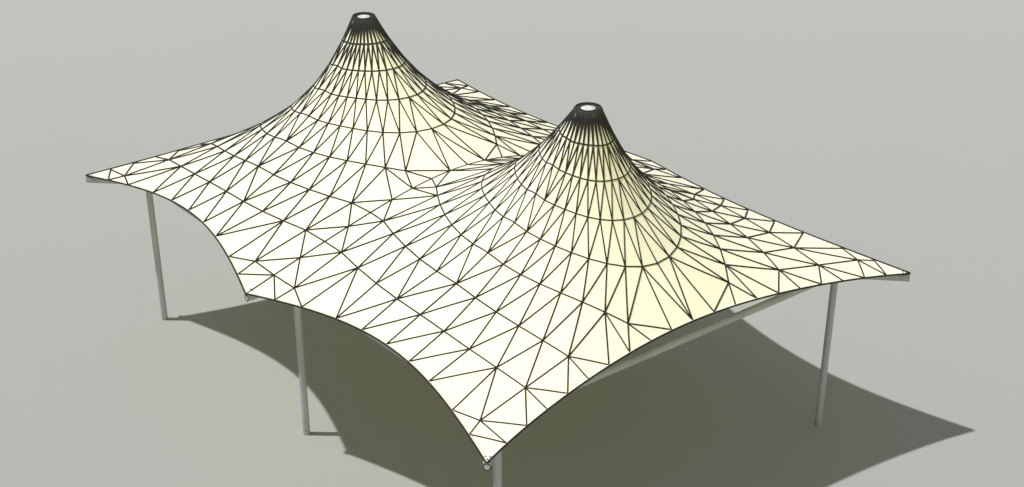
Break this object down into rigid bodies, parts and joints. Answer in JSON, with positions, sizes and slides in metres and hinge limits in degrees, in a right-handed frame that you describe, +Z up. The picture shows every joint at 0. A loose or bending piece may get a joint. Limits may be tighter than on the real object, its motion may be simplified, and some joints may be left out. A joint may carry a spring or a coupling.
{
  "type": "tensile membrane canopy",
  "caption": "Tensile membrane canopy with conical peaks and scalloped edges, on an open frame of round steel columns and beams.",
  "frame": {"origin": "on the ground at the middle of the plan, below the valley between the peaks", "axes": "+X along the long side of the roof, +Y across it, +Z up"},
  "size_m": [10.486, 7.52, 5.078],
  "materials": {
    "frame_steel": "satin grey paint over galvanising",
    "fitting_steel": "dark satin paint",
    "cover": "white paint",
    "membrane": "white coated polyester, matt with a slight sheen"
  },
  "bodies": {
    "root": {"column_left_front": "frame_steel", "column_middle_front": "frame_steel", "column_right_front": "frame_steel", "column_left_back": "frame_steel", "column_middle_back": "frame_steel", "column_right_back": "frame_steel", "long_beam_left_front": "frame_steel", "long_beam_right_front": "frame_steel", "long_beam_left_back": "frame_steel", "long_beam_right_back": "frame_steel", "short_beam_left": "frame_steel", "short_beam_right": "frame_steel", "cross_beam_left": "frame_steel", "cross_beam_right": "frame_steel", "mast_left": "frame_steel", "mast_right": "frame_steel", "peak_ring_left": "fitting_steel", "peak_ring_right": "fitting_steel", "peak_cover_left": "cover", "peak_cover_right": "cover", "corner_left_front_arm": "frame_steel", "corner_right_front_arm": "frame_steel", "corner_left_back_arm": "frame_steel", "corner_right_back_arm": "frame_steel", "middle_front_arm": "frame_steel", "middle_back_arm": "frame_steel", "corner_left_front_plate": "fitting_steel", "corner_right_front_plate": "fitting_steel", "corner_left_back_plate": "fitting_steel", "corner_right_back_plate": "fitting_steel", "middle_front_plate": "fitting_steel", "middle_back_plate": "fitting_steel", "membrane_left_front": "membrane", "membrane_left_end_front": "membrane", "membrane_left_end_back": "membrane", "membrane_left_back": "membrane", "membrane_left_valley_back": "membrane", "membrane_left_valley_front": "membrane", "membrane_right_front": "membrane", "membrane_right_end_front": "membrane", "membrane_right_end_back": "membrane", "membrane_right_back": "membrane", "membrane_right_valley_back": "membrane", "membrane_right_valley_front": "membrane"}
  },
  "joints": []
}
